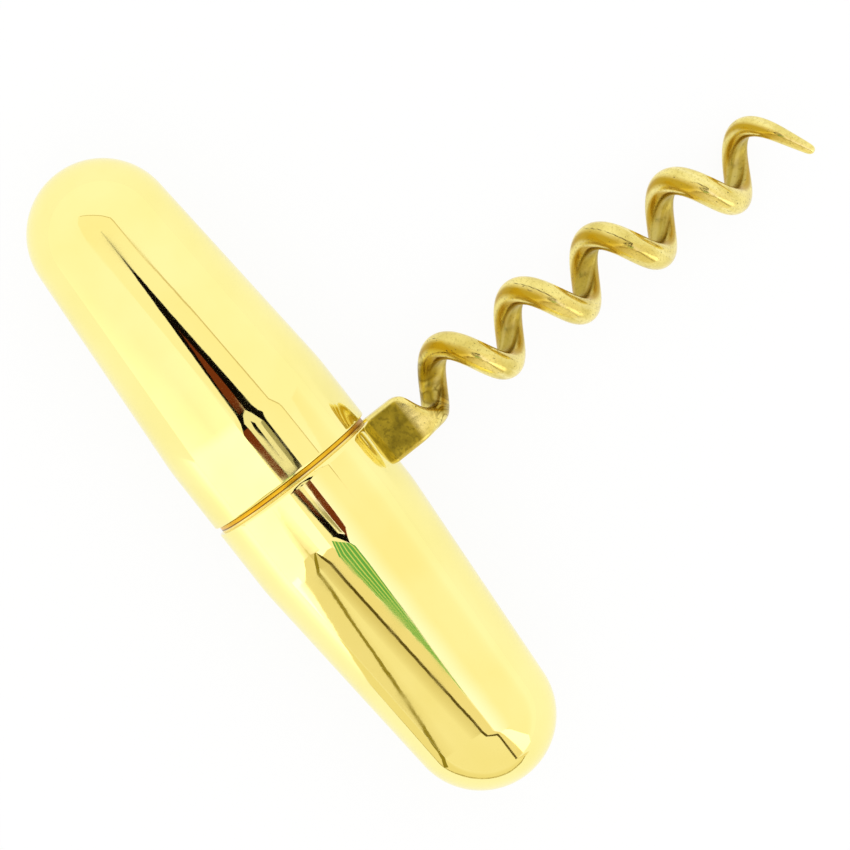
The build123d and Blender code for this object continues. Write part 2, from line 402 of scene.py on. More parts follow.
tube_stations = [
    (spigot_end, tube_bore), (spigot_end, tube_radius), (tube_end, tube_radius), (tube_end, tube_bore)
]
guide_tube = turn_ring("slotted_tube", tube_sides, tube_stations)
slot_middle = (slot_start + slot_length / 2, 0, 0)
cut_away(guide_tube, rounded_bar(slot_middle, slot_length, slot_width, slot_reach))
cut_away(guide_tube, saw(past_spigot))
ease_edges(guide_tube, 0.05 * mm)
guide_tube.data.materials.append(turned_brass)
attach(guide_tube, "holding_half")
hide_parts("guide_tube")


# Cap liner: a thin brass sleeve pressed into the cap's mouth, its bore eased at the rim.
# It slides over the spigot and is what the grip ring holds on to.
liner_end, liner_bore, liner_mouth, mouth_bore = -7.6 * mm, 9.27 * mm, -0.8 * mm, 9.47 * mm
liner_stations = [
    (-cap_rim, mouth_bore), (-cap_rim, plug_radius), (liner_end, plug_radius),
    (liner_end, liner_bore), (liner_mouth, liner_bore),
]
cap_liner = turn_ring("mouth_sleeve", collar_sides, liner_stations)
ease_edges(cap_liner, 0.04 * mm)
cap_liner.data.materials.append(turned_brass)
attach(cap_liner, "cap_half")
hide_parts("cap_liner")


# Pivot pin: a length of bright drawn steel rod through the worm's eye, its two ends
# chamfered and held in the shoes, so it lies crosswise in the tube.
pivot_place, pin_radius, pin_length, pin_sides = 3.3 * mm, 1.25 * mm, 15.298 * mm, 64


def drawn_steel():
    """Bright steel rod: cool grey with fine lines along the rod and small oily stains."""
    finish, links, shader, place = new_finish("drawn_steel")
    oil = remap(finish, mottle(finish, place, 700, 4), 0.45, 0.7, 0, 1)
    colour = blend_colours(finish, oil, (0.60, 0.60, 0.58), (0.42, 0.40, 0.35))
    links.new(colour, shader.inputs["Base Color"])
    lines = mottle(finish, place, 6000, 2, (1, 1, 0.03))
    links.new(remap(finish, lines, 0.3, 0.7, 0.18, 0.34), shader.inputs["Roughness"])
    links.new(relief(finish, lines, 0.003 * mm), shader.inputs["Normal"])
    return finish


def rod_at(location, radius, length):
    """Round rod that lies crosswise to the handle, with its middle at a place."""
    bpy.ops.mesh.primitive_cylinder_add(vertices=pin_sides, radius=radius, depth=length, location=location)
    bpy.ops.object.transform_apply()
    return bpy.context.object


steel = drawn_steel()
pin = rod_at((pivot_place, 0, 0), pin_radius, pin_length)
pin.name = "pivot_rod"
ease_edges(pin, 0.2 * mm, 1)
pin.data.materials.append(steel)
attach(pin, "runner")
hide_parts("pivot_pin")


# Shoes: two small steel plates with round ends, one on each end of the pin. They run in
# the tube's slots and stop the worm from turning sideways.
shoe_top, shoe_thickness, shoe_length, shoe_width = 7.573 * mm, 0.95 * mm, 5 * mm, 3.3 * mm
shoe_hole, shoe_drill = 1.27 * mm, 3 * mm
for name, node, side in (("front_shoe", "shoe_front", 1), ("back_shoe", "shoe_rear", -1)):
    middle = (pivot_place, 0, side * (shoe_top - shoe_thickness / 2))
    shoe = rounded_bar(middle, shoe_length, shoe_width, shoe_thickness)
    shoe.name = name
    cut_away(shoe, rod_at(middle, shoe_hole, shoe_drill))
    ease_edges(shoe, 0.06 * mm)
    shoe.data.materials.append(steel)
    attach(shoe, "runner")
    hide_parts(node)


# Spacers: two brass sleeves parted off from tube and threaded on the pin, which keep the
# worm's flat midway between the shoes.
spacer_radius, spacer_bore, spacer_low, spacer_high = 2.2 * mm, 1.3 * mm, 1.45 * mm, 6.573 * mm
drill_length = 9 * mm
for name, node, side in (("front_bush", "spacer_front", 1), ("back_bush", "spacer_rear", -1)):
    middle = (pivot_place, 0, side * (spacer_low + spacer_high) / 2)
    bush = rod_at(middle, spacer_radius, spacer_high - spacer_low)
    bush.name = name
    cut_away(bush, rod_at(middle, spacer_bore, drill_length))
    ease_edges(bush, 0.08 * mm)
    bush.data.materials.append(turned_brass)
    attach(bush, "runner")
    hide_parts(node)


# Worm: one steel rod, forged flat and pierced at one end, then wound hot over a mandrel
# into nearly five right-hand turns that run out straight to a blunt point. It was plated
# after forging. The inside of its coil and one flank of each turn are painted darker, as
# painted shade. Its sizes are in millimetres here.
wire_points, rings_per_turn = 20, 24
wire_radius, coil_radius, worm_pitch, wound_turns, worm_turns = 1.7, 3.2, 11.15, 4.75, 4.91
taper_turns, taper_power, point_radius = 1.035, 2.2, 0.625
worm_start, worm_offset, worm_lean = 17.3, 1.87, 2.7
coil_foot, mandrel_flat, eye_radius = 17, 1.42, 1.3
neck_turns, neck_place, neck_tilt, neck_cage = 0.125, (4.7, 16.6, -0.3), 30, 1.02
flat_width, flat_thickness, flat_top, flat_edge = 6.5, 2.8, 14.8, 0.6
flat_places = (14.2, 12, 9, 6, 3, 0.6, -0.8, -1.8, -2.5, -2.95, -3.18)
flank_start, flank_low, shade_line_reach, shade_line_turns = 0.48, -82, 0.27, 3.9
lead_angle = math.atan2(worm_pitch / math.tau, coil_radius)


def wire_radius_at(turn):
    """Radius of the wire at a turn: full up to the taper, then smaller and smaller to the point."""
    way = max(0, 1 - (worm_turns - turn) / taper_turns)
    return wire_radius - (wire_radius - point_radius) * way**taper_power


def wire_centre(turn):
    """Centre of the wire at a turn: on the screw line, and straight on past its last bend."""
    wound = min(turn, wound_turns)
    angle = math.tau * wound
    centre = Vector((math.cos(angle) * coil_radius, worm_pitch * wound, -math.sin(angle) * coil_radius))
    run = Vector((-math.sin(angle), 0, -math.cos(angle))) * coil_radius * math.tau
    run += Vector((0, worm_pitch, 0))
    return (centre + run * (turn - wound)) * mm


def wind(share_of_turn):
    """Moves what is selected on along the screw by a share of one turn."""
    bpy.ops.transform.translate(value=(0, worm_pitch * share_of_turn * mm, 0))
    bpy.ops.transform.rotate(
        value=-math.tau * share_of_turn, orient_axis="Y", orient_type="GLOBAL", center_override=(0, 0, 0)
    )


def wind_wire():
    """Winds the wire up from a ring of points, ring by ring, and closes it with a blunt point."""
    # The rounding draws the cage in later, so the cage starts a little wider than the wire.
    cage = 1 / ((2 + math.cos(math.tau / wire_points)) / 3)
    coil_cage = 1 / ((2 + math.cos(math.tau / rings_per_turn * math.cos(lead_angle))) / 3)
    bpy.ops.mesh.primitive_circle_add(
        vertices=wire_points,
        radius=wire_radius * cage * mm,
        location=(coil_radius * coil_cage * mm, 0, 0),
        rotation=(lead_angle, 0, 0),
    )
    wire = bpy.context.object
    bpy.ops.object.transform_apply()
    flat_at = (coil_radius - mandrel_flat) * mm
    pick(wire, "VERT", lambda point: point.co.x < flat_at)
    bpy.ops.transform.resize(value=(0, 1, 1), center_override=(flat_at, 0, 0))
    bpy.ops.mesh.select_all(action="SELECT")
    wind(neck_turns)
    wound_rings = round((wound_turns - neck_turns) * rings_per_turn)
    turns = [neck_turns + ring / rings_per_turn for ring in range(wound_rings + 1)]
    turns += [wound_turns + (worm_turns - wound_turns) * share for share in (0.25, 0.5, 0.75, 1)]
    for turn, next_turn in zip(turns, turns[1:]):
        bpy.ops.mesh.extrude_region_move()
        if next_turn <= wound_turns:
            wind(next_turn - turn)
        else:
            bpy.ops.transform.translate(value=wire_centre(next_turn) - wire_centre(turn))
        thinner = wire_radius_at(next_turn) / wire_radius_at(turn)
        bpy.ops.transform.resize(value=(thinner,) * 3, center_override=wire_centre(next_turn))
    onwards = (wire_centre(worm_turns) - wire_centre(wound_turns)).normalized() * point_radius * mm
    for ahead, shrink in ((0.55, 0.8), (0.35, 0.5)):
        bpy.ops.mesh.extrude_region_move()
        bpy.ops.transform.translate(value=onwards * ahead)
        bpy.ops.transform.resize(value=(shrink,) * 3)
    bpy.ops.mesh.extrude_region_move()
    bpy.ops.transform.translate(value=onwards * 0.05)
    bpy.ops.mesh.merge(type="CENTER")
    bpy.ops.object.mode_set(mode="OBJECT")
    wire.rotation_euler = (0, 0, -math.radians(worm_lean))
    wire.location = (worm_offset * mm, worm_start * mm, 0)
    bpy.ops.object.transform_apply()
    return wire


def forge_flat():
    """Draws the flat down from its root to the round eye end, rounding its four long edges."""
    side_length, near_top = 1.2 * mm, 0.1
    bpy.ops.mesh.primitive_plane_add(
        size=1, location=(pivot_place, flat_top * mm, 0), rotation=(math.pi / 2, 0, 0)
    )
    flat = bpy.context.object
    flat.scale = (flat_width * mm, flat_thickness * mm, 1)
    bpy.ops.object.transform_apply()
    bpy.ops.object.mode_set(mode="EDIT")
    bpy.ops.mesh.select_all(action="SELECT")
    bpy.ops.mesh.bevel(offset=flat_edge * mm, segments=2, affect="VERTICES")
    pick_edges(flat, lambda a, b: abs(a.x - b.x) > side_length)
    bpy.ops.mesh.subdivide(number_cuts=3)
    pick_edges(flat, lambda a, b: abs(a.z - b.z) > side_length)
    bpy.ops.mesh.subdivide(number_cuts=1)
    bpy.ops.mesh.select_all(action="SELECT")
    y, width = flat_top, flat_width
    for next_y in flat_places:
        round_end = 2 * math.sqrt((flat_width / 2) ** 2 - min(0, next_y) ** 2)
        middle = (pivot_place, next_y * mm, 0)
        bpy.ops.mesh.extrude_region_move(TRANSFORM_OT_translate={"value": (0, (next_y - y) * mm, 0)})
        bpy.ops.transform.resize(value=(round_end / width, 1, 1), center_override=middle)
        y, width = next_y, round_end
    pick(flat, "FACE", lambda face: face.center.y > (flat_top - near_top) * mm)
    bpy.ops.mesh.delete(type="FACE")
    bpy.ops.object.mode_set(mode="OBJECT")
    return flat


def weld_on(piece, part):
    """Joins a part to a piece and draws the metal smoothly across between their open ends."""
    bpy.ops.object.select_all(action="DESELECT")
    part.select_set(True)
    piece.select_set(True)
    bpy.context.view_layer.objects.active = piece
    bpy.ops.object.join()
    bpy.ops.object.mode_set(mode="EDIT")
    bpy.ops.mesh.select_mode(type="EDGE")
    bpy.ops.mesh.select_all(action="DESELECT")
    bpy.ops.mesh.select_non_manifold()
    bpy.ops.mesh.bridge_edge_loops(number_cuts=2, interpolation="SURFACE", smoothness=1)
    face_outwards()


def times(finish, first, second):
    """Product of two shares."""
    product = finish.node_tree.nodes.new("ShaderNodeMath")
    product.operation = "MULTIPLY"
    finish.node_tree.links.new(first, product.inputs[0])
    finish.node_tree.links.new(second, product.inputs[1])
    return product.outputs["Value"]


def between(finish, value, rise, fall, most=1):
    """Share that goes up to its most over the rise of a value, and down again over its fall."""
    up = remap(finish, value, *rise, 0, most)
    return times(finish, up, remap(finish, value, *fall, 1, 0))


def noted(finish, name):
    """What is stored on the wire's points under a name."""
    attribute = finish.node_tree.nodes.new("ShaderNodeAttribute")
    attribute.attribute_name = name
    return attribute.outputs["Vector"]


def plated_wire(finish, place, run, grain):
    """Gold on the wire's crests: tarnished in clouds, streaked along the wire and grainy."""
    tarnish = remap(finish, mottle(finish, place, 260, 6), 0.42, 0.68, 0, 1)
    colour = blend_colours(finish, tarnish, (0.93, 0.79, 0.26), (0.72, 0.58, 0.14))
    streaks = remap(finish, mottle(finish, run, 1100, 4, (0.08, 1, 1)), 0.5, 0.68, 0, 0.7)
    colour = blend_colours(finish, streaks, colour, (1, 0.90, 0.42))
    return blend_colours(finish, grain, colour, (0.52, 0.40, 0.09))


def paint_hollow_shade(finish, run, grain, hollow_shade, wound, colour):
    """Painted shade on the inside of the coil: darker tan metal with draw marks, and a brown band of
    painted shade beside it.
    """
    hollow_shade_colour = blend_colours(finish, grain, (0.42, 0.305, 0.035), (0.23, 0.16, 0.012))
    drawn = remap(finish, mottle(finish, run, 800, 4, (0.06, 1, 1)), 0.48, 0.62, 0, 0.6)
    hollow_shade_colour = blend_colours(finish, drawn, hollow_shade_colour, (0.62, 0.50, 0.14))
    colour = blend_colours(finish, hollow_shade, colour, hollow_shade_colour)
    shade_band = between(finish, part_of(finish, run, "Y"), (0, -0.4 * mm), (-0.8 * mm, -1.2 * mm), 0.8)
    return blend_colours(finish, times(finish, wound, shade_band), colour, (0.50, 0.30, 0.008))


def scale_neck(finish, place, outwards, colour):
    """Brown forging scale where the tang runs into the coil."""
    forged = between(finish, outwards, (17.3 * mm, 18.2 * mm), (20.5 * mm, 21.8 * mm), 0.85)
    scale = remap(finish, mottle(finish, place, 480, 6), 0.42, 0.56, 0, 1)
    return blend_colours(finish, times(finish, forged, scale), colour, (0.40, 0.27, 0.015))


def curl_neck(finish, place, outwards, colour):
    """Dark curled lines on the neck, where the hot metal was folded."""
    curls = mottle(finish, place, 230, 1)
    curls.node.inputs["Distortion"].default_value = 2.4
    line = between(finish, curls, (0.43, 0.49), (0.49, 0.55))
    near_neck = between(finish, outwards, (17 * mm, 18 * mm), (20 * mm, 21.5 * mm), 0.8)
    return blend_colours(finish, times(finish, near_neck, line), colour, (0.2, 0.13, 0.01))


def dull_shaded_flat(finish, place):
    """Dull, stained and speckled metal on the two broad sides of the tang, painted darker in part as a
    painted reflection.
    """
    stain = remap(finish, mottle(finish, place, 520, 7), 0.38, 0.64, 0, 1)
    dull = blend_colours(finish, stain, (0.48, 0.35, 0.028), (0.26, 0.19, 0.015))
    speckle = remap(finish, mottle(finish, place, 2400, 5), 0.5, 0.62, 0, 0.55)
    return blend_colours(finish, speckle, dull, (0.17, 0.125, 0.012))


def rougher(finish, share, roughness, full):
    """Roughness that goes to a full value with a share."""
    mix = finish.node_tree.nodes.new("ShaderNodeMix")
    finish.node_tree.links.new(share, mix.inputs["Factor"])
    finish.node_tree.links.new(roughness, mix.inputs["A"])
    mix.inputs["B"].default_value = full
    return mix.outputs["Result"]


def gilt_steel():
    """Gilt wire: gold on its crests, painted shade inside the coil and on one flank of each turn with a
    dark line along it, dull and partly painted darker on the flat, pitted and scored.
    """
    finish, links, shader, place = new_finish("gilt_steel")
    run, flank_shade = noted(finish, "along_wire"), noted(finish, "shaded_flank")
    outwards = part_of(finish, place, "Y")
    grain = remap(finish, mottle(finish, place, 3000, 3), 0.5, 0.7, 0, 0.45)
    colour = plated_wire(finish, place, run, grain)

    # Painted shade: the inside of the coil is painted darker and browner.
    wound = remap(finish, outwards, 16 * mm, 19.5 * mm, 0, 1)
    inside = remap(finish, part_of(finish, run, "Y"), -0.4 * mm, -1.3 * mm, 0, 0.9)
    hollow_shade = times(finish, wound, inside)
    colour = paint_hollow_shade(finish, run, grain, hollow_shade, wound, colour)
    colour = scale_neck(finish, place, outwards, colour)
    # Painted shade: one flank of each turn is painted darker.
    colour = blend_colours(finish, part_of(finish, flank_shade, "X"), colour, (0.52, 0.33, 0.02))
    colour = curl_neck(finish, place, outwards, colour)

    above = remap(finish, outwards, 14.6 * mm, 15.4 * mm, 1, 0)
    far_edge = times(finish, above, remap(finish, part_of(finish, place, "X"), 4 * mm, 6 * mm, 0, 0.5))
    colour = blend_colours(finish, far_edge, colour, (0.60, 0.44, 0.06))
    height = finish.node_tree.nodes.new("ShaderNodeMath")
    height.operation = "ABSOLUTE"
    links.new(part_of(finish, place, "Z"), height.inputs[0])
    # The tang's broad sides: dull, stained metal, painted darker in part as a painted reflection.
    facet = times(finish, remap(finish, height.outputs["Value"], 1.27 * mm, 1.34 * mm, 0, 1), above)
    colour = blend_colours(finish, facet, colour, dull_shaded_flat(finish, place))

    # Painted shade line: a dark broken line along the upper edge of the flank's painted shade, on the
    # first turns.
    shade_line = remap(finish, part_of(finish, flank_shade, "Y"), 0.02, 0.05, 1, 0)
    breaks = remap(finish, mottle(finish, run, 420, 3), 0.47, 0.52, 0, 0.9)
    colour = blend_colours(finish, times(finish, shade_line, breaks), colour, (0.10, 0.06, 0.01))
    pits = remap(finish, mottle(finish, run, 3600, 2), 0.24, 0.34, 1, 0)
    colour = blend_colours(finish, pits, colour, (0.16, 0.11, 0.03))
    links.new(colour, shader.inputs["Base Color"])

    marks = mottle(finish, run, 1500, 5, (0.08, 1, 1))
    satin = rougher(finish, hollow_shade, remap(finish, marks, 0.3, 0.7, 0.1, 0.24), 0.33)
    links.new(rougher(finish, facet, satin, 0.32), shader.inputs["Roughness"])
    hammered = relief(finish, mottle(finish, run, 420, 2, (0.6, 1, 1)), 0.05 * mm)
    scored = relief(finish, marks, 0.012 * mm, hammered)
    pitted = relief(finish, remap(finish, pits, 0, 1, 1, 0), 0.012 * mm, scored)
    links.new(pitted, shader.inputs["Normal"])
    return finish


def flank_shade_at(bend, angle):
    """Painted shade on the flank at a bend's share of a turn and an angle round the wire, and the way
    across it.
    """
    # The flank's upper edge climbs fast at first and then half as fast, in degrees round the wire.
    upper = -50 + max(0, bend + 0.03) * 290 if bend < 0.05 else -27 + 147 * (bend - 0.05)
    way = (angle - flank_low) / (upper - flank_low)
    reach = max(0, min(1, (bend + 0.08) / 0.05, (0.32 - bend) / 0.1))
    return reach * max(0, min(1, 3 * way, 3 - 3 * way)), way


def note_run_along_wire(worm):
    """Stores where each point would lie on the straight rod, how much painted shade the flank gets there,
    and where its dark line runs.
    """
    along_wire = worm.data.attributes.new("along_wire", "FLOAT_VECTOR", "POINT")
    shaded_flank = worm.data.attributes.new("shaded_flank", "FLOAT_VECTOR", "POINT")
    foot = Matrix.Translation((-worm_offset * mm, -worm_start * mm, 0))
    upright = Matrix.Rotation(math.radians(worm_lean), 4, "Z") @ foot
    turn_length = math.hypot(math.tau * coil_radius, worm_pitch)
    for point, run, flank_shade in zip(worm.data.vertices, along_wire.data, shaded_flank.data):
        local = upright @ point.co / mm
        if point.co.y < coil_foot * mm:
            run.vector, flank_shade.vector = (point.co.y, point.co.x - pivot_place, point.co.z), (0, 1, 0)
            continue
        share = math.atan2(-local.z, local.x) / math.tau
        turn = share + round(local.y / worm_pitch - share)
        out, up = math.hypot(local.x, local.z) - coil_radius, local.y - worm_pitch * turn
        run.vector = (coil_foot * mm + turn * turn_length * mm, out * mm, up * mm)
        bend = share % 1 - flank_start
        flank_darkness, way = flank_shade_at(bend, math.degrees(math.atan2(up, out)))
        on_shade_line = 0 < bend < shade_line_reach and turn < shade_line_turns
        flank_shade.vector = (flank_darkness, abs(way - 1) if on_shade_line else 1, 0)


bpy.ops.mesh.primitive_circle_add(
    vertices=wire_points,
    radius=wire_radius * neck_cage * mm,
    location=[part * mm for part in neck_place],
    rotation=(math.radians(-90 - neck_tilt), 0, 0),
)
neck = bpy.context.object
bpy.ops.object.transform_apply()
forged_worm = forge_flat()
weld_on(forged_worm, neck)
weld_on(forged_worm, wind_wire())
forged_worm.name = "forged_worm"
rounding = forged_worm.modifiers.new("rounding", "SUBSURF")
rounding.levels = rounding.render_levels = 2
bpy.ops.object.modifier_apply(modifier=rounding.name)
cut_away(forged_worm, rod_at((pivot_place, 0, 0), eye_radius * mm, drill_length))
note_run_along_wire(forged_worm)
polish(forged_worm, 40)
forged_worm.data.materials.append(gilt_steel())
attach(forged_worm, "worm_wire")
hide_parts("worm")


# Floor: a white sheet on which the corkscrew lies, on the handle's band and on the last
# turns of the worm, so the sheet is a few degrees out of the handle's own plane.
sheet_size, floor_tilt = 4, math.radians(5.2)
bpy.ops.mesh.primitive_plane_add(
    size=sheet_size, location=(0, 0, -band_radius / math.cos(floor_tilt)), rotation=(floor_tilt, 0, 0)
)
floor = bpy.context.object
floor.name = "white_sheet"
paper = bpy.data.materials.new("white_paper")
paper.use_nodes = True
paper_nodes, paper_links = paper.node_tree.nodes, paper.node_tree.links
sheet_shader = paper_nodes["Principled BSDF"]
sheet_shader.inputs["Base Color"].default_value = (0.95, 0.95, 0.95, 1)
sheet_shader.inputs["Roughness"].default_value = 1
sheet_shader.inputs["Specular IOR Level"].default_value = 0
backlight = paper_nodes.new("ShaderNodeEmission")
seen = paper_nodes.new("ShaderNodeLightPath").outputs["Is Camera Ray"]
# The camera sees more of the sheet's even glow than the gold mirrors.
share = remap(paper, seen, 0, 1, 0.62, 0.9)
sheet_mix = paper_nodes.new("ShaderNodeMixShader")
paper_links.new(share, sheet_mix.inputs["Fac"])
paper_links.new(sheet_shader.outputs["BSDF"], sheet_mix.inputs[1])
paper_links.new(backlight.outputs["Emission"], sheet_mix.inputs[2])
paper_links.new(sheet_mix.outputs["Shader"], paper_nodes["Material Output"].inputs["Surface"])
floor.data.materials.append(paper)


# Room: a white tent that lights everything evenly. The gold mirrors the tent and what stands
# in it, as cards that only reflections see. Their corners are in millimetres.
roof, wall, wall_foot, far, far_foot = 800, -918, -90, 15000, -1500
sheet_slope = math.tan(floor_tilt)
white_tent = bpy.data.worlds.new("white_tent")
bpy.context.scene.world = white_tent
white_tent.use_nodes = True
white_tent.node_tree.nodes["Background"].inputs["Color"].default_value = (1, 1, 1, 1)
white_tent.node_tree.nodes["Background"].inputs["Strength"].default_value = 1.04


def hang_card(name, corners, colour, lower=0):
    """Hangs a card that only reflections see: in the tent's roof, or at its corners' own heights."""
    bpy.ops.mesh.primitive_circle_add(vertices=len(corners), fill_type="NGON")
    card = bpy.context.object
    card.name = name
    for point, (x, y, *z) in zip(card.data.vertices, corners):
        point.co = (x * mm, y * mm, (z[0] if z else roof - lower) * mm)
    glow = bpy.data.materials.new(name)
    glow.use_nodes = True
    shader = glow.node_tree.nodes["Principled BSDF"]
    shader.inputs["Base Color"].default_value = (0, 0, 0, 1)
    shader.inputs["Specular IOR Level"].default_value = 0
    shader.inputs["Emission Color"].default_value = (*colour, 1)
    shader.inputs["Emission Strength"].default_value = 1
    card.data.materials.append(glow)
    card.visible_camera = card.visible_diffuse = card.visible_shadow = card.visible_transmission = False
    return card


def feather(card, axis, clear, full):
    """Fades a card in softly along one axis, from where it is clear to where it is full."""
    cloth = card.active_material
    nodes, links = cloth.node_tree.nodes, cloth.node_tree.links
    place = nodes.new("ShaderNodeTexCoord").outputs["Object"]
    mix = nodes.new("ShaderNodeMixShader")
    fade = remap(cloth, part_of(cloth, place, axis), clear * mm, full * mm, 0, 1)
    fade.node.interpolation_type = "SMOOTHSTEP"
    links.new(fade, mix.inputs["Fac"])
    links.new(nodes.new("ShaderNodeBsdfTransparent").outputs["BSDF"], mix.inputs[1])
    links.new(nodes["Principled BSDF"].outputs["BSDF"], mix.inputs[2])
    links.new(mix.outputs["Shader"], nodes["Material Output"].inputs["Surface"])


# Mirrored camera: it looks in at the hole in the roof. The gold shows it black, with brown
# grips and a strap, a dial, and a pale window with a dark eye in it.
black, brown, shade = (0.004, 0.003, 0.003), (0.17, 0.035, 0.012), (0.4, 0.37, 0.26)
body_top = [(-134, -50), (-123, -26), (-104, 45), (-86, 124), (-79, 146), (-29, 180), (-4, 225)]
body_top += [(18, 200), (57, 178)]
body_low = [(57, -255), (45, -300), (17, -264), (-30, -209), (-81, -183), (-96, -141), (-114, -86)]
body_low += [(-123, -56)]
hang_card("camera_body", body_top + body_low, black)
strap = [(-102, -48), (-95, -14), (-86, 10), (-79, 8), (-79, -130), (-86, -131), (-95, -86)]
hang_card("camera_strap", strap, brown, 1)
window_top = [(-79, -1), (-38, 58), (16, 109), (42, 135), (46, 143), (53, 125), (55, 82)]
window_low = [(55, -88), (54, -114), (47, -139), (31, -147), (-15, -155), (-60, -86)]
hang_card("camera_window", window_top + window_low, (0.93, 0.88, 0.78), 2)
window_shade = [(31, 117), (44, 143), (53, 134), (54, 99), (54, 65), (46, 65), (42, 66)]
hang_card("window_shade", window_shade, shade, 3)
hang_card("camera_eye", [(-6, -44), (21, -2), (44, -11), (48, -28), (45, -36), (42, -70)], black, 3)
low_grip = [(16, -147), (47, -145), (55, -122), (56, -175), (57, -247), (51, -262), (45, -295), (20, -262)]
hang_card("low_grip", low_grip, brown, 3)
high_grip = [(58, 190), (59, 133), (70, 130), (79, 97), (124, 37), (103, 29), (79, 29), (64, 13)]
hang_card("high_grip", high_grip + [(60, 30), (58, 56)], brown, 1)
hang_card("camera_dial", [(65, 4), (70, 12), (88, 20), (73, -22), (70, -47), (65, -72)], shade)
front_top = [(59, -114), (64, -89), (70, -64), (79, -31), (103, 29), (124, 37), (164, 3)]
front_low = [(109, -82), (80, -133), (71, -177), (66, -203), (61, -239), (59, -248)]
hang_card("camera_front", front_top + front_low, black)
hang_card("front_grip", [(59, -228), (59, -118), (64, -95), (67, -105), (66, -150), (62, -185)], brown, 1)


# Mirrored mat: a green mat beside the camera, with five pale stripes along it.
# Both of its long edges are given, and the stripes lie at shares of the way between them.
stripe_start, stripe_step, stripe_width = 0.08, 0.19, 0.06
mat_top = [Vector(corner) for corner in ((164, 12), (200, 55), (218, 24), (230, -22), (240, -42))]
mat_low = [Vector(corner) for corner in ((86, -222), (205, -310), (217, -180), (231, -71), (241, -46))]


def mat_strip(name, start, end, colour, lower):
    """One stripe of the striped mat, between two shares of its width."""
    near, far = ([tuple(a.lerp(b, share)) for a, b in zip(mat_top, mat_low)] for share in (start, end))
    hang_card(name, near + far[::-1], colour, lower)


mat_strip("green_mat", 0, 1, (0.14, 0.44, 0.15), 2)
for stripe in range(5):
    start = stripe_start + stripe_step * stripe
    mat_strip(f"mat_stripe_{stripe}", start, start + stripe_width, (0.62, 0.74, 0.32), 3)


# Mirrored roof: the cloth over the cap with the seam along its edge, the light that comes in
# past the mat, and the peach glow beside it.
seam_shift, cloth_edge, bright = (4, -24), 3200, (1.6, 1.6, 1.6)
opening = [(-860, -236), (-641, -17), (-424, 185), (-249, 312), (-132, 320), (-111, 443), (-87, 498)]
opening += [(-44, 501), (27, 633), (62, 662), (80, 677)]
opening_low = [(80, -334), (18, -353), (-83, -248), (-123, -362), (-144, -450), (-700, -420), (-900, -300)]
cloth_line = opening + [(80, cloth_edge), (far, cloth_edge), (far, -300)] + opening_low
feather(hang_card("roof_cloth", cloth_line, (1.03, 0.975, 0.86), -3), "Y", cloth_edge, 900)
seam_low = [(x + seam_shift[0], y + seam_shift[1]) for x, y in reversed(opening)]
hang_card("roof_seam", opening + seam_low, (0.72, 0.6, 0.42), -1)
near_light = [(60, 420), (640, 420), (560, -33), (60, -33)]
feather(hang_card("near_light", near_light, (1.2, 1.13, 1.5), -2), "Y", 420, -60)
far_light = [(560, 60), (720, 108), (1950, 350), (far, 2600), (far, 6500), (3500, 1900), (760, 335)]
hang_card("far_light", far_light + [(600, 200)], bright, -1)
peach = (0.9, 0.79, 0.56)
glow_top = [(124, -290), (215, -230), (231, -75), (249, -50), (400, -58), (550, 50), (725, 100)]
glow_low = [(420, -270), (261, -285), (240, -480), (150, -600), (122, -400)]
hang_card("roof_glow", glow_top + [(1950, 335), (far, 2600), (far, 300), (560, -60)] + glow_low, peach)


# Mirrored panel: a yellowish cloth that hangs in the roof, down the wall behind the handle's
# foot and over the sheet. Its hem is dark and its foot brown, and it is painted darker
# towards its hem, its foot and its near edge, as painted shade.
panel, hem_line, foot_line = (0.952, 0.874, 0.68), (0.1, 0.07, 0.01), (0.28, 0.22, 0.03)
wedge_tint = (1, 0.91, 0.82)


def paint_shade_towards(card, line, clear, tint):
    """Paints the panel's cloth darker along X towards the line at one of its edges, as painted shade."""
    cloth = card.active_material
    place = cloth.node_tree.nodes.new("ShaderNodeTexCoord").outputs["Object"]
    share = remap(cloth, part_of(cloth, place, "X"), line * mm, clear * mm, 0, 1)
    shader = cloth.node_tree.nodes["Principled BSDF"]
    cloth.node_tree.links.new(blend_colours(cloth, share, tint, panel), shader.inputs["Emission Color"])


hem = [(102, -670), (151, -584), (200, -524), (229, -498), (257, -239), (416, -213), (546, -8), (720, 8)]
hem += [(2450, 60), (far, 560)]
hem_low = [(far, -20), (2460, -45), (721, -42), (579, -54), (423, -274), (262, -297), (238, -577)]
hem_low += [(158, -655)]
panel_roof = hang_card("panel_roof", hem + [(far, wall), (104, wall)], panel, 1)
paint_shade_towards(panel_roof, 250, 310, (0.74, 0.64, 0.4))
hang_card("panel_hem", hem + hem_low, hem_line, 2)
foot_start = [(102, -672), (170, -786), (240, wall), (176, wall), (108, -735)]
hang_card("foot_start", foot_start, foot_line, 2)


def on_wall(x, z, out=0):
    """Place on the wall behind the handle's foot, a little out from it."""
    return x, wall + out, z


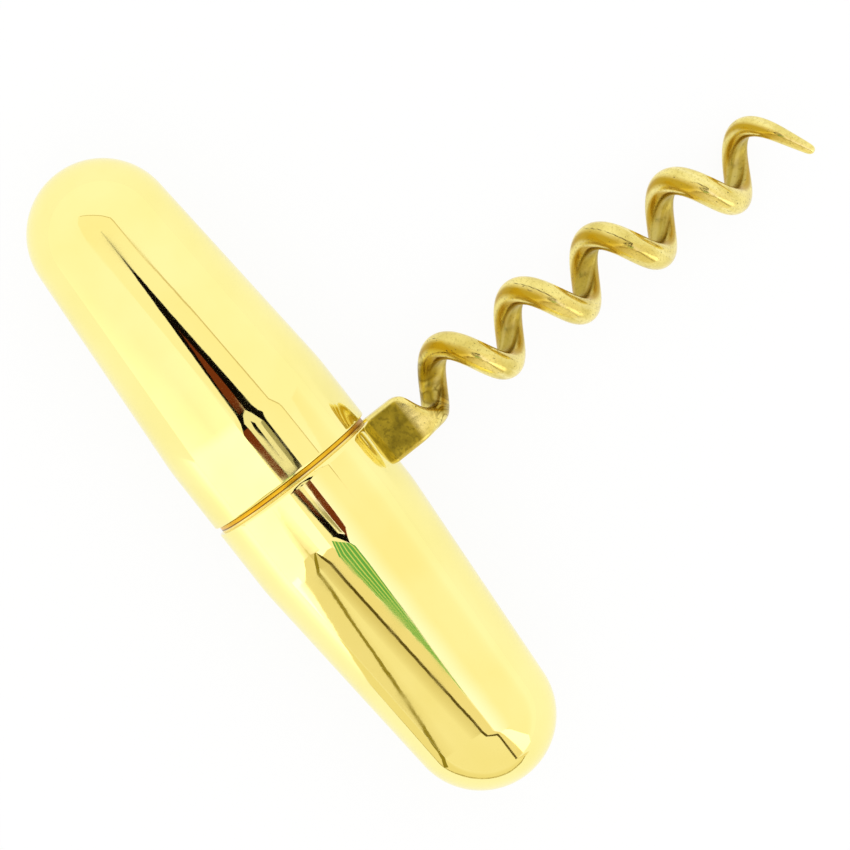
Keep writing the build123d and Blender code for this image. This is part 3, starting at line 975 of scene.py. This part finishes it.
wall_edge = ((104, roof), (107, 539), (153, 419), (188, 248), (199, 150), (198, wall_foot))
wall_line = [on_wall(x, z) for x, z in wall_edge + ((far, wall_foot), (far, roof))]
paint_shade_towards(hang_card("panel_wall", wall_line, panel), 240, 275, (0.885, 0.79, 0.56))
foot_right = ((240, roof), (265, 678), (250, 484), (240, 148), (239, wall_foot))
foot_left = ((232, wall_foot), (234, 232), (241, 468), (248, 565), (229, 645), (176, roof))
hang_card("panel_foot", [on_wall(x, z, 1) for x, z in foot_right + foot_left], foot_line)
roof_wedge = [(74, -662), (79, -578), (94, -528), (104, -600), (104, wall), (95, wall)]
feather(hang_card("roof_wedge", roof_wedge, wedge_tint, 1), "X", 70, 106)
wall_wedge = [on_wall(x, z) for x, z in ((88, roof), (104, roof), (107, 539), (90, 650))]
feather(hang_card("wall_wedge", wall_wedge, wedge_tint), "X", 86, 106)


def on_sheet(x, y, lift=0.4):
    """Place just above the sheet."""
    return x, y, -band_radius / mm + y * sheet_slope + lift


apron_line = ((34, -56), (50, -43), (66, -42), (77, -33), (82, -22), (88, -9), (104, 3), (133, 15))
apron = [on_sheet(x, y) for x, y in apron_line]
apron_far = [on_sheet(x, y) for x, y in ((far, 15), (far, wall), (200, wall), (80, -321), (40, -104))]
paint_shade_towards(hang_card("panel_apron", apron + apron_far, panel), 85, 220, (0.88, 0.78, 0.5))
fold = ((158, 19), (120, 3), (99, -11), (92, -26), (87, -40), (73, -52), (52, -48), (35, -57.5))
hang_card("apron_edge", apron + [on_sheet(x, y) for x, y in fold], (0.35, 0.27, 0.1))
foot_end = [(241, wall + 1), (120, -337), (78, -142), (62, -64), (51, -42), (54, -67)]
foot_end += [(58, -104), (63, -129), (75, -185), (85, -237), (189, -717), (232, wall + 1)]
hang_card("foot_end", [on_sheet(x, y, 0.8) for x, y in foot_end], foot_line)
glow_rim = [on_sheet(x, y) for x, y in ((140, 28), (235, 38), (far, 400))]
sheet_glow = [on_sheet(x, y) for x, y in ((far, 15), (133, 15))] + glow_rim
hang_card("sheet_glow", sheet_glow, peach)
for name, low, high, colour in (
    ("panel_end", wall, -20, panel),
    ("hem_end", -20, 560, hem_line),
    ("glow_end", 560, 2600, peach),
    ("light_end", 2600, 6500, bright),
):
    corners = [(far, low, roof), (far, high, roof), (far, high, far_foot), (far, low, far_foot)]
    hang_card(name, corners, colour)


# Mirrored lamps: two soft lamps behind the cloth below the camera, one in the roof and one in
# the wall, the light that they throw on the sheet, and a brighter strip at the wall's foot.
lamp_start, lamp_full, lamp_end, lamp_glow = -125, 10, 240, (1.5, 1.5, 1.5)
roof_lamp = [(lamp_start, wall), (lamp_start, -300), (122, -300), (122, -400), (150, -600)]
roof_lamp += [(lamp_end, wall)]
feather(hang_card("roof_lamp", roof_lamp, lamp_glow, -1), "X", lamp_start, lamp_full)
lamp_sides = ((lamp_start, roof), (lamp_end, roof), (lamp_end, wall_foot), (lamp_start, wall_foot))
wall_lamp = [on_wall(x, z, -1) for x, z in lamp_sides]
feather(hang_card("wall_lamp", wall_lamp, lamp_glow), "X", lamp_start, lamp_full)
pool_left = ((-12, -25), (0, -400), (0, wall + 1))
pool_right = ((200, wall + 1), (80, -321), (40, -104), (34, -60), (28, -25))
lamp_pool = [on_sheet(x, y) for x, y in pool_left + pool_right]
feather(hang_card("lamp_pool", lamp_pool, lamp_glow), "Y", -25, -160)
lamp_rim = [on_wall(x, z) for x, z in ((146, 140), (180, 140), (194, wall_foot), (146, wall_foot))]
hang_card("lamp_rim", lamp_rim, (2.1, 2.1, 2.1))


# Lamps: two large soft lamps above the corkscrew, one towards the top of the picture and one
# towards its foot, for a faint shade on the sheet. Reflections don't see them.
lamp_size = 0.9
for name, place, power in (("key_lamp", (-0.5, 0.7, 1.3), 1.2), ("fill_lamp", (0.6, -0.7, 1.3), 1)):
    light = bpy.data.lights.new(name, "AREA")
    light.size, light.energy = lamp_size, power
    lamp = bpy.data.objects.new(name, light)
    lamp.location = place
    lamp.rotation_mode = "QUATERNION"
    lamp.rotation_quaternion = Vector(place).to_track_quat("Z", "Y")
    lamp.visible_glossy = False
    bpy.context.scene.collection.objects.link(lamp)


# Camera: looks down on the corkscrew from far off through a long lens, nearly square to the
# handle, and is rolled so that the handle falls to the lower right.
towards_camera = Vector((-0.078, -0.088, 1)).normalized()
along = Vector((1, 0, 0)) - towards_camera * towards_camera.x
along.normalize()
across = towards_camera.cross(along)
roll = math.radians(51.9)
right = along * math.cos(roll) + across * math.sin(roll)
up = across * math.cos(roll) - along * math.sin(roll)
camera_distance, view_width, sensor_width = 0.8, 0.1, 36
aim_right, aim_up = 15.6, 5.92
aim = right * aim_right * mm + up * aim_up * mm
camera_data = bpy.data.cameras.new("camera")
camera_data.sensor_width = sensor_width
camera_data.lens = sensor_width * camera_distance / view_width
camera = bpy.data.objects.new("camera", camera_data)
bpy.context.scene.collection.objects.link(camera)
camera.matrix_world = Matrix.Translation(aim + towards_camera * camera_distance) @ Matrix(
    (right, up, towards_camera)
).transposed().to_4x4()
bpy.context.scene.camera = camera
bpy.context.scene.view_settings.view_transform = "Standard"
